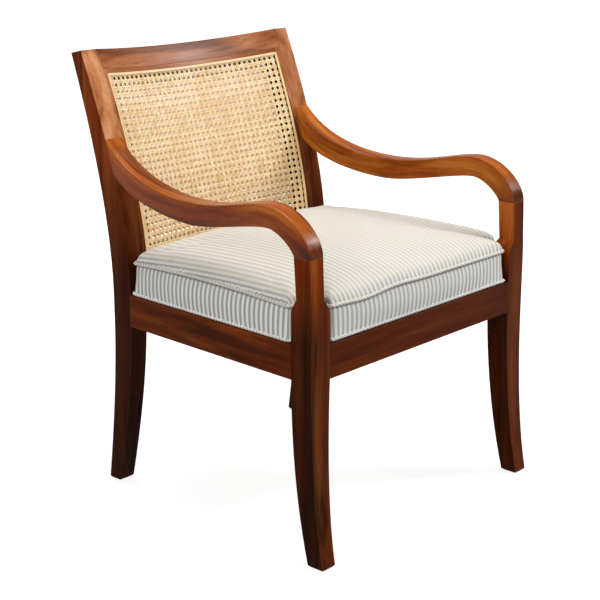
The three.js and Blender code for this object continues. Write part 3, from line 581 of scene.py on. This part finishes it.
def caned_seat(cane):
    """The sheet under the cushion, cut round the legs and posts."""
    middle = FIT - RABBET_DEPTH + CANE_THICKNESS / 2
    deck = RAIL_THICKNESS - RABBET_WIDTH + FIT
    rear = POST_FRONT + REAR_SETBACK + RABBET_WIDTH - FIT
    leg_edge = FRONT_WIDTH / 2 - LEG - FIT
    post_edge = BACK_WIDTH / 2 - POST_WIDTH - FIT

    def inside(u, v):
        if not deck <= v <= rear:
            return False
        if v < LEG + FIT:
            return abs(u) <= leg_edge
        if v > POST_FRONT - FIT:
            return abs(u) <= post_edge
        return abs(u) <= seat_half(v) - deck

    o = weave("woven_seat_cane", inside, (-SEAT_SPAN, SEAT_SPAN), (deck, rear),
              lambda u, v, w: seat_point(u, v, middle - w), cane, 7, (PITCH / 2, deck + SEAT_ROW))
    flat_bake_map(o, 1)
    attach(o, "frame")
    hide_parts("seat_cane")


# ---------------------------------------------------------------- the cushion

# The corners' radii in millimetres and the points along each edge, from the right-hand ear's front corner
CORNER_RADII = [9, 7, 9, 7, 7, 9, 7, 9]
EDGE_COUNTS = [7, 6, 66, 76, 66, 6, 7, 84]
BACK_EDGE = 3
ARC_STEPS = 4
# The seams: the lower one's height, the top one's bow and how far back the waves in front reach. A wave is
# its rise in millimetres, its place along x and its width.
LOW_SEAM = WELT + FIT
SEAM_LIFT = 7 * MM
SEAM_WAVES = ((2.6, -0.07, 0.05), (-3.6, -0.165, 0.045))
WAVE_REACH = 0.06
# The boxing: its insets at the top seam and, between the folds, at the bottom and top, and its hollow
TOP_INSET = 6.5 * MM
BOXING_INSETS = (4.5 * MM, 8.5 * MM)
BOXING_HOLLOW = 0.8 * MM
BOXING_SHARES = (0.86, 0.72, 0.58, 0.44, 0.3, 0.18)
# The folds beside the seams: their height, how far each is drawn in, and the lower one's share of the lift
SEAM_FOLD = 3 * MM
TOP_FOLD_INSET, LOW_FOLD_INSET = 3.5 * MM, 1.5 * MM
LOW_FOLD_SHARE = 0.05
# The top panel's roll at its edge and its crown, the underside's slope down from the lower seam, and the
# spacing of the points on both
ROLL = 20 * MM
ROLL_HEIGHT = 22 * MM
CROWN_EDGE, CROWN_RISE = 20 * MM, 24 * MM
CROWN_INSET = 18 * MM
SIDE_REACH, UNDERSIDE_GAP = 14 * MM, 0.4 * MM
PANEL_SPACING = 8 * MM
# How far the cloth may move when it is filled, and the frames that it has for it
CLOTH_REACH = 12 * MM
LAST_FRAME = 20
# The stripes' pitch. The welts: their radius, the pitch of their stripes and gathers, the length of a step
# of the mesh and its sides, and the places where the gathers shift
STRIPE = 11.4 * MM
CORD = 3.2 * MM
WELT_STRIPE = 8 * MM
WELT_STATION, WELT_SIDES = 1.5 * MM, 12
WOBBLES = 180


def cushion_outline(inset):
    """The cushion's plan as a ring of (x, y), drawn in by an inset. It has the same points at any inset."""
    ear = FRONT_WIDTH / 2 - LEG - EAR_GAP - inset
    notch = LEG + NOTCH_GAP + inset
    back = POST_FRONT - BACK_GAP - inset
    half = [(ear, inset), (ear, notch), (seat_half(notch) - inset, notch), (seat_half(back) - inset, back)]
    corners = [Vector((*c, 0)) for c in half + [(-x, y) for x, y in reversed(half)]]
    arcs = []
    for i, corner in enumerate(corners):
        before, after = corners[i - 1], corners[(i + 1) % len(corners)]
        start = corner + (before - corner).normalized() * CORNER_RADII[i] * MM
        end = corner + (after - corner).normalized() * CORNER_RADII[i] * MM
        arcs.append([start.lerp(corner, share).lerp(corner.lerp(end, share), share)
                     for share in (k / ARC_STEPS for k in range(ARC_STEPS + 1))])
    bow_half = BACK_WIDTH / 2 - POST_WIDTH - WELT
    ring = []
    for i, count in enumerate(EDGE_COUNTS):
        ring += arcs[i]
        start, end = arcs[i][-1], arcs[(i + 1) % len(arcs)][0]
        for k in range(1, count):
            p = start.lerp(end, k / count)
            if i == BACK_EDGE and abs(p.x) < bow_half:
                p.y += CUSHION_BOW * (1 - (p.x / bow_half) ** 2)
            ring.append(p)
    return np.array([(p.x, p.y) for p in ring])


def closed(ring):
    """A ring with its first point again at the end."""
    return np.vstack([ring, ring[:1]])


def seam_distance(points, seam):
    """How far each point lies from the nearest point of the seam."""
    return np.sqrt(((points[:, None] - seam[None]) ** 2).sum(2)).min(1)


def seam_lift(xy):
    """The top seam's rise: it bows up along the sides, and has settled in a shallow wave at the front."""
    x, y = xy[:, 0], xy[:, 1]
    share = np.clip((y - LEG - NOTCH_GAP) / (SEAT_DEPTH - NOTCH_GAP - BACK_GAP), 0, 1)
    wave = sum(rise * np.exp(-((x - place) / width) ** 2) for rise, place, width in SEAM_WAVES)
    return SEAM_LIFT * 4 * share * (1 - share) + wave * MM * np.exp(-(y / WAVE_REACH) ** 2)


def rolled(distance, height):
    """The height of cloth that rolls over an edge, at a distance from it."""
    roll = np.clip(distance / ROLL, 0, 1)
    return height * np.sqrt(1 - (1 - roll) ** 2)


def filling(xy, seam):
    """The filling's height above the top seam: rolled over at the edge, crowned in the middle."""
    centre = np.array([0, (LEG + NOTCH_GAP + POST_FRONT) / 2])
    inner = cushion_outline(CROWN_INSET) - centre
    angles = np.arctan2(inner[:, 1], inner[:, 0])
    order = np.argsort(angles)
    radii = np.interp(np.arctan2(xy[:, 1] - centre[1], xy[:, 0]), angles[order],
                      np.linalg.norm(inner, axis=1)[order], period=2 * math.pi)
    share = np.clip(np.linalg.norm(xy - centre, axis=1) / radii, 0, 1)
    return rolled(seam_distance(xy, seam), CROWN_EDGE + CROWN_RISE * (1 - share ** 4))


def length_across(x, y):
    """How far a point of the top panel lies from the panel's middle line, along the rolled-over cloth."""
    edge = seat_half(max(y, LEG)) - WELT
    stations = np.linspace(0, min(abs(x), edge), 40)
    heights = rolled(edge - stations, ROLL_HEIGHT)
    return math.copysign(np.hypot(np.diff(stations), np.diff(heights)).sum(), x)


def panel_points(seam, spacing):
    """Points inside the seam and clear of it, in a staggered grid of nearly equal triangles."""
    low, high = seam.min(0), seam.max(0)
    rows = np.arange(low[1] + spacing, high[1], spacing * 0.866)
    points = np.array([(x + (spacing / 2 if i % 2 else 0), y) for i, y in enumerate(rows)
                       for x in np.arange(low[0], high[0], spacing)])
    x, y = points[:, None, 0], points[:, None, 1]
    ends = np.roll(seam, -1, 0)
    step = ends - seam
    crosses = (seam[None, :, 1] > y) != (ends[None, :, 1] > y)
    before = x < step[None, :, 0] * (y - seam[None, :, 1]) / (step[None, :, 1] + 1e-12) + seam[None, :, 0]
    inside = (crosses & before).sum(1) % 2 == 1
    return points[inside & (seam_distance(points, seam) > spacing * 0.6)]


def panel_faces(seam, points):
    """Triangles over the seam's ring and the points inside it, by index: the ring's come first."""
    flat = [Vector(p) for p in np.concatenate([seam, points])]
    count = len(seam)
    edges = [(i, (i + 1) % count) for i in range(count)]
    return delaunay_2d_cdt(flat, edges, [], 1, 1e-7)[2]


def along_seam(seam, lengths, ring):
    """How far along the seam each point of a ring beside it lies, with the first point again at the end."""
    ahead = np.roll(seam, -1, 0) - seam
    shares = np.clip(((ring[:, None] - seam[None]) * ahead[None]).sum(2) / (ahead ** 2).sum(1), 0, 1)
    nearest = np.linalg.norm(ring[:, None] - seam[None] - shares[..., None] * ahead[None], axis=2).argmin(1)
    places = lengths[nearest] + shares[np.arange(len(ring)), nearest] * np.diff(lengths)[nearest]
    total = lengths[-1]
    places -= total * np.round((places - lengths[:-1]) / total)
    return np.append(places, places[0] + total)


def boxing_rings():
    """The (inset, height, share of the top seam's lift) of each ring round the side, from the top."""
    rings = [(TOP_INSET, SEAM, 1.0), (TOP_INSET + TOP_FOLD_INSET, SEAM - SEAM_FOLD, 1.0)]
    for share in BOXING_SHARES:
        inset = lerp(*BOXING_INSETS, share) + BOXING_HOLLOW * 4 * share * (1 - share)
        rings.append((inset, lerp(LOW_SEAM, SEAM, share), share))
    return rings + [(WELT + LOW_FOLD_INSET, LOW_SEAM + SEAM_FOLD, LOW_FOLD_SHARE), (WELT, LOW_SEAM, 0.0)]


def cushion(material):
    """The sewn cover, filled: the boxing's rings, then the top panel's points and the underside's."""
    seam = cushion_outline(WELT)
    count = len(seam)
    points = panel_points(seam, PANEL_SPACING)
    lift = seam_lift(seam)
    sides = boxing_rings()
    lengths = lengths_along(closed(seam))
    vertices, rings, places = [], [], []
    for inset, up, lifted in sides:
        ring = cushion_outline(inset)
        rings.append(len(vertices))
        places.append(along_seam(seam, lengths, ring))
        vertices += [seat_point(x, y, up + l * lifted) for (x, y), l in zip(ring, lift)]
    faces, corner_uv = [], []
    for r in range(len(rings) - 1):
        high, low = sides[r][1] + BOXING_MAP, sides[r + 1][1] + BOXING_MAP
        above, below = places[r], places[r + 1]
        for j in range(count):
            k = (j + 1) % count
            faces.append((rings[r] + j, rings[r + 1] + j, rings[r + 1] + k, rings[r] + k))
            corner_uv.append([(above[j], high), (below[j], low), (below[j + 1], low), (above[j + 1], high)])
    top_base = len(vertices)
    vertices += [seat_point(x, y, SEAM + h + l)
                 for (x, y), h, l in zip(points, filling(points, seam), seam_lift(points))]
    bottom_base = len(vertices)
    sag = LOW_SEAM * (1 - np.clip(seam_distance(points, seam) / SIDE_REACH, 0, 1)) + UNDERSIDE_GAP
    vertices += [seat_point(x, y, z) for (x, y), z in zip(points, sag)]
    across = [(length_across(x, y), y) for x, y in np.concatenate([seam, points])]
    triangles = panel_faces(seam, points)
    for base, ring_base, turned in ((top_base, rings[0], False), (bottom_base, rings[-1], True)):
        for face in triangles:
            index = [ring_base + i if i < count else base + i - count for i in face]
            xy = [across[i] for i in face]
            faces.append(tuple(reversed(index)) if turned else tuple(index))
            corner_uv.append(list(reversed(xy)) if turned else xy)
    o = new_object("cushion_body", vertices, faces, material)
    layer = o.data.uv_layers.new(name="cloth")
    layer.data.foreach_set("uv", [c for face in corner_uv for pair in face for c in pair])
    held = [*range(rings[0], rings[0] + count), *range(rings[-1], rings[-1] + count),
            *range(bottom_base, bottom_base + len(points))]
    o.vertex_groups.new(name="held").add(held, 1.0, "REPLACE")
    fill(o)
    smooth = o.modifiers.new("smooth", "SUBSURF")
    smooth.levels = smooth.render_levels = 1
    return o


def fill(o):
    """Blows the sewn cover out against its own strength, with its seams held, and limits how far it moves."""
    rest = np.array([v.co for v in o.data.vertices])
    cloth = o.modifiers.new("cloth", "CLOTH")
    s = cloth.settings
    s.quality = 7
    s.mass = 0.25
    s.tension_stiffness = s.compression_stiffness = 40
    s.shear_stiffness = 20
    s.bending_stiffness = 3
    s.air_damping = 2
    s.use_pressure = True
    s.uniform_pressure_force = 4
    s.shrink_min = 0
    s.vertex_group_mass = "held"
    s.effector_weights.gravity = 0
    cloth.collision_settings.use_collision = False
    cloth.point_cache.frame_start, cloth.point_cache.frame_end = 1, LAST_FRAME
    scene = bpy.context.scene
    for number in range(1, LAST_FRAME + 1):
        scene.frame_set(number)
    apply_modifiers(o)
    scene.frame_set(1)
    moved = np.array([v.co for v in o.data.vertices]) - rest
    far = np.linalg.norm(moved, axis=1, keepdims=True)
    moved *= np.minimum(1, CLOTH_REACH / np.maximum(far, 1e-9))
    o.data.vertices.foreach_set("co", (rest + moved).ravel())
    o.data.update()


def welt(name, ring, material, depth, seed):
    """A cord in its own bias-cut cover, with the small gathers that the cover makes round it."""
    line = closed(np.array(ring))
    lengths = lengths_along(line)
    total = lengths[-1]
    stations = round(total / WELT_STATION)
    at = np.linspace(0, total, stations, endpoint=False)
    centre = np.stack([np.interp(at, lengths, line[:, k]) for k in range(3)], 1)
    for _ in range(2):
        centre = (np.roll(centre, 1, 0) + 2 * centre + np.roll(centre, -1, 0)) / 4
    along = np.roll(centre, -1, 0) - np.roll(centre, 1, 0)
    along /= np.linalg.norm(along, axis=1, keepdims=True)
    out = np.cross(along, (0, 0, 1))
    out /= np.linalg.norm(out, axis=1, keepdims=True)
    up = np.cross(out, along)
    gathers = round(total / WELT_STRIPE)
    rng = np.random.default_rng(seed)
    wobble = np.interp(at, np.linspace(0, total, WOBBLES), rng.uniform(-0.5, 0.5, WOBBLES))
    turn = 2 * math.pi / WELT_SIDES
    vertices, faces, uvs = [], [], []
    for i in range(stations):
        k = (i + 1) % stations
        s0, s1 = at[i], at[i] + total / stations
        for j in range(WELT_SIDES):
            angle = turn * j
            phase = 2 * math.pi * (at[i] / total * gathers) + angle * 0.8 + wobble[i]
            radius = CORD * (1 - depth * (0.5 + 0.5 * math.cos(phase)) ** 2)
            vertices.append(centre[i] + out[i] * math.cos(angle) * radius + up[i] * math.sin(angle) * radius)
            m = (j + 1) % WELT_SIDES
            faces.append((i * WELT_SIDES + j, k * WELT_SIDES + j, k * WELT_SIDES + m, i * WELT_SIDES + m))
            a0, a1 = turn * CORD * j, turn * CORD * (j + 1)
            uvs += [(s0, a0), (s1, a0), (s1, a1), (s0, a1)]
    o = new_object(name, vertices, faces, material)
    o.data.uv_layers.new(name="cloth").data.foreach_set("uv", [c for pair in uvs for c in pair])
    return o


# ---------------------------------------------------------------- the frame's finishes

# The deepest streaks, the dark bands, the body and the light bands of the wood, at its palest
ARM_WOOD = ("3c1604", "7c3808", "b05812", "d07e2c")
LEG_WOOD = ("2e0f03", "7a3612", "a4521c", "c06e30")
POST_WOOD = ("4a2010", "96542a", "c4804c", "d89a70")
CREST_WOOD = ("4a2010", "844420", "9c5c34", "b87a50")
RAIL_WOOD = ("200a02", "441a06", "662808", "7e3c0c")
# How much of the light it mirrors, and how much paler its edges are, partly from wear and partly as a painted
# highlight
DULL, SIDE_STRIP_GLOSS, CROSS_STRIP_GLOSS, CREST_GLOSS, ARM_GLOSS = 0.02, 0.03, 0.06, 0.09, 0.12
EDGE_WEAR_AND_HIGHLIGHT, ARM_WEAR_AND_HIGHLIGHT = 0.3, 0.6
# Painted light and shade: what is left of the wood's colour at a height, in metres. The faces are lighter or
# darker by the way they face and by their side of the chair, as the light falls on them. The lower parts are
# painted darker, as in shade, and the upper parts of the arms paler, as a painted highlight.
LEFT_ARM_FRONT = [(0.535, "886658"), (0.60, "ece4e0")]
LEFT_ARM_SIDE = [(0.535, "785444"), (0.58, "c8ac90"), (0.62, "ece0d0")]
RIGHT_ARM_FRONT = [(0.535, "5c483c"), (0.585, "a08878"), (0.60, "f0ecec")]
RIGHT_ARM_SIDE = [(0.535, "886a58"), (0.58, "f0ecec")]
LEFT_LEG_FRONT = [(0.0, "9c9290"), (0.40, "a09888"), (0.46, "c0ae90"), (0.56, "f4dcb0")]
LEFT_LEG_SIDE = [(0.0, "685c58"), (0.40, "685c54"), (0.46, "a08874"), (0.56, "c49c84")]
RIGHT_LEG_FRONT = [(0.0, "9c9290"), (0.40, "a09888"), (0.46, "94806a"), (0.56, "a88d62")]
RIGHT_LEG_SIDE = [(0.0, "685c58"), (0.40, "6c6454"), (0.46, "e0d0b8"), (0.56, "ffffff")]
LEFT_POST_FRONT = [(0.0, "4c3a28"), (0.42, "5c4430"), (0.58, "907060"), (0.66, "ffffff")]
RIGHT_POST_FRONT = [(0.0, "4c3a28"), (0.42, "5c4430"), (0.58, "907060"), (0.66, "dcd2cc")]
POST_SIDE = [(0.0, "483020"), (0.40, "563820"), (0.58, "8c6440"), (0.66, "ae7c4c")]
# Painted shade along the front rail: what is left of its colour, darker towards +x, by the place along x that
# a ramp takes
FRONT_RAIL_PAINTED_SHADE = [(0.35, "ece6d4"), (0.52, "dcd0b2"), (0.74, "b39c88")]
# The arms' line, as (y, height)
ARM_LINE = [(-0.308, 0.55), (-0.268, 0.574), (-0.228, 0.593), (-0.188, 0.597), (-0.108, 0.583),
            (-0.008, 0.571), (0.072, 0.578), (0.112, 0.585), (0.152, 0.6), (0.192, 0.623), (0.232, 0.67)]
# For each pair: the grain's axis, the wood, the gloss, the left and right painted light and shade, the line
# and the edges' wear and painted highlight
PAIRS = {
    "front_leg": ("z", LEG_WOOD, DULL, (LEFT_LEG_FRONT, LEFT_LEG_SIDE), (RIGHT_LEG_FRONT, RIGHT_LEG_SIDE),
                  None, EDGE_WEAR_AND_HIGHLIGHT),
    "back_post": ("z", POST_WOOD, DULL, (LEFT_POST_FRONT, POST_SIDE), (RIGHT_POST_FRONT, POST_SIDE),
                  None, EDGE_WEAR_AND_HIGHLIGHT),
    "arm": ("y", ARM_WOOD, ARM_GLOSS, (LEFT_ARM_FRONT, LEFT_ARM_SIDE), (RIGHT_ARM_FRONT, RIGHT_ARM_SIDE),
            ARM_LINE, ARM_WEAR_AND_HIGHLIGHT),
    "side_rail": ("y", RAIL_WOOD, DULL, (None, None), (None, None), None, EDGE_WEAR_AND_HIGHLIGHT),
}


def dress_pairs():
    # Each piece gets painted light and shade by height and facing, and its edges' wear and painted highlight
    for n, (stem, (axis, colours, gloss, *painted_shadings, follow, wear_and_highlight)) in enumerate(PAIRS.items()):
        for m, side in enumerate(("left", "right")):
            dress(f"{stem}_{side}", wood(f"wood_{stem}_{side}", axis, n * 2 + m + 1, colours, gloss,
                                         *painted_shadings[m], follow, wear_and_highlight=wear_and_highlight))


def dress_rails():
    dress("crest_rail", wood("wood_crest_rail", "x", 31, CREST_WOOD, CREST_GLOSS))
    # The front rail gets its painted shade along x
    for n, (node, painted_shading) in enumerate((("lower_back_rail", None), ("front_rail", FRONT_RAIL_PAINTED_SHADE),
                                       ("rear_rail", None))):
        dress(node, wood(f"wood_{node}", "x", n + 33, RAIL_WOOD, DULL, painted_shading))


def dress_panel_strips():
    """The strips round the back's cane. Their ledges lie between its two sheets, in the shade."""
    narrowing = (POST_WIDTH - POST_TOP_WIDTH) / BACK_HEIGHT
    recess = (-1.0, 0.0, narrowing, BACK_WIDTH / 2 - POST_WIDTH - STRIP - narrowing * RAIL_TOP)
    for n, side in enumerate(("left", "right")):
        name = f"panel_strip_{side}"
        # The side strips take the right post's painted light and shade by height
        dress(name, wood(f"wood_{name}", "z", n + 41, POST_WOOD, SIDE_STRIP_GLOSS, RIGHT_POST_FRONT,
                         recess=recess))
    sample = 0.2
    for side, down, up, colours in (("top", CREST_HEIGHT + STRIP, -1.0, CREST_WOOD),
                                    ("bottom", CREST_HEIGHT + STRIP + CANE_HEIGHT, 1.0, RAIL_WOOD)):
        edge = back_point(0, down, SPLINE_THICKNESS)[2]
        bend = (back_point(sample, down, SPLINE_THICKNESS)[2] - edge) / sample ** 2
        name = f"panel_strip_{side}"
        dress(name, wood(f"wood_{name}", "x", 43, colours, CROSS_STRIP_GLOSS,
                         recess=(0.0, -up * bend, up, -up * edge)))


def dress_hidden():
    """The corner blocks, their screws and the arms' dowels."""
    steel = steel_material()
    for place in ("front", "rear"):
        for n, side in enumerate(("left", "right")):
            dress(f"corner_block_{place}_{side}", plain_wood(f"inner_block_{place}_{side}", "x", n + 0.3))
            dress(f"arm_dowel_{place}_{side}", plain_wood(f"inner_dowel_{place}_{side}", "y", n + 0.7))
            dress(f"corner_screw_{place}_{side}", steel)


def dress_splines():
    reed = cane_material("cane_reed", "ffecc4", "e6c488")
    for face in ("front", "rear"):
        for side in ("left", "right", "top", "bottom"):
            dress(f"spline_{face}_{side}", reed)
    for side in ("left", "right", "front", "rear"):
        dress(f"seat_spline_{side}", reed)


# ---------------------------------------------------------------- the cushion's pieces

def sewn_cushion():
    """The filled body, and the welts along its two seams."""
    body = cushion(ticking("ticking", STRIPE, 0.34, 0.8))
    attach(body, "cushion")
    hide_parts("cushion")
    seam = cushion_outline(WELT)
    top = [seat_point(x, y, SEAM + l) for (x, y), l in zip(cushion_outline(TOP_INSET), seam_lift(seam))]
    bottom = [seat_point(x, y, LOW_SEAM) for x, y in seam]
    for node, ring, depth, seed, pale in (("welt_top", top, 0.25, 1, "d8d0bc"),
                                          ("welt_bottom", bottom, 0.45, 2, "fbf9f2")):
        name = f"cushion_{node}"
        # The welts' slanted stripes have the gathers' pitch: partly the ticking's own stripes, partly painted
        # shade in the creases between the gathers
        o = welt(name, ring, ticking(name, WELT_STRIPE, 0.4, 0.75, pale, slant=0.7), depth, seed)
        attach(o, "cushion")
        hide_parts(node)


# ---------------------------------------------------------------- floor and surround

def ground():
    """A pale floor that keeps the chair's shadow. Seen, it glows to white."""
    t = Tree("floor")
    base = t.ramp(t.noise(t.objects(), 40, 3), [(0.3, 0.4), (0.7, 0.42)])
    t.tree.nodes.remove(t.shader)
    distance = t.add("VectorMath", {0: t.objects()}, operation="LENGTH").outputs["Value"]
    strength = t.ramp(t.maths("DIVIDE", distance, 3.0), [(0.2, 0.78), (0.6, 1.0)])
    diffuse = t.add("BsdfDiffuse", {"Color": base}).outputs[0]
    glow = t.add("Emission", {"Color": strength, "Strength": 1.0}).outputs[0]
    both = t.add("AddShader", {0: diffuse, 1: glow}).outputs[0]
    ray = t.add("LightPath").outputs
    reflected = t.maths("MAXIMUM", ray["Is Glossy Ray"], ray["Is Transmission Ray"])
    seen = t.maths("MAXIMUM", ray["Is Camera Ray"], reflected)
    surface = t.add("MixShader", {0: seen, 1: diffuse, 2: both}).outputs[0]
    t.tree.links.new(surface, t.output.inputs["Surface"])
    size = 30
    corners = [(-size, -size, 0), (size, -size, 0), (size, size, 0), (-size, size, 0)]
    floor = new_object("floor", corners, [(0, 1, 2, 3)], t.material)


def surround():
    """An even surround: white to the camera, and dimmer as a light."""
    world = bpy.data.worlds.new("surround")
    bpy.context.scene.world = world
    world.use_nodes = True
    nodes, links = world.node_tree.nodes, world.node_tree.links
    light = nodes["Background"]
    light.inputs["Color"].default_value = (1, 1, 1, 1)
    light.inputs["Strength"].default_value = 0.38
    shown = nodes.new("ShaderNodeBackground")
    shown.inputs["Color"].default_value = (1, 1, 1, 1)
    ray = nodes.new("ShaderNodeLightPath")
    mix = nodes.new("ShaderNodeMixShader")
    links.new(ray.outputs["Is Camera Ray"], mix.inputs[0])
    links.new(light.outputs[0], mix.inputs[1])
    links.new(shown.outputs[0], mix.inputs[2])
    links.new(mix.outputs[0], nodes["World Output"].inputs["Surface"])


def lamps():
    """Soft lamps, and a small bright one that makes the highlights on the polish."""
    middle = (0, 0, 0.5)
    area_light("front_lamp", (2.2, -1.75, 2.1), middle, (1.3, 1.3), 36)
    area_light("glint_lamp", (2.2, -1.75, 2.1), middle, (0.22, 0.26), 20)
    area_light("left_lamp", (-2.7, -1.0, 1.7), middle, (1.6, 1.6), 36)
    area_light("above", (0.3, 0.3, 3.0), middle, (1.8, 1.8), 50)


# ---------------------------------------------------------------- putting it together

camera()
dress_pairs()
dress_rails()
dress_panel_strips()
dress_hidden()
dress_splines()
caned_back()
caned_seat(cane_material("seat_cane"))
sewn_cushion()
ground()
surround()
lamps()
bpy.context.scene.view_settings.view_transform = "Standard"
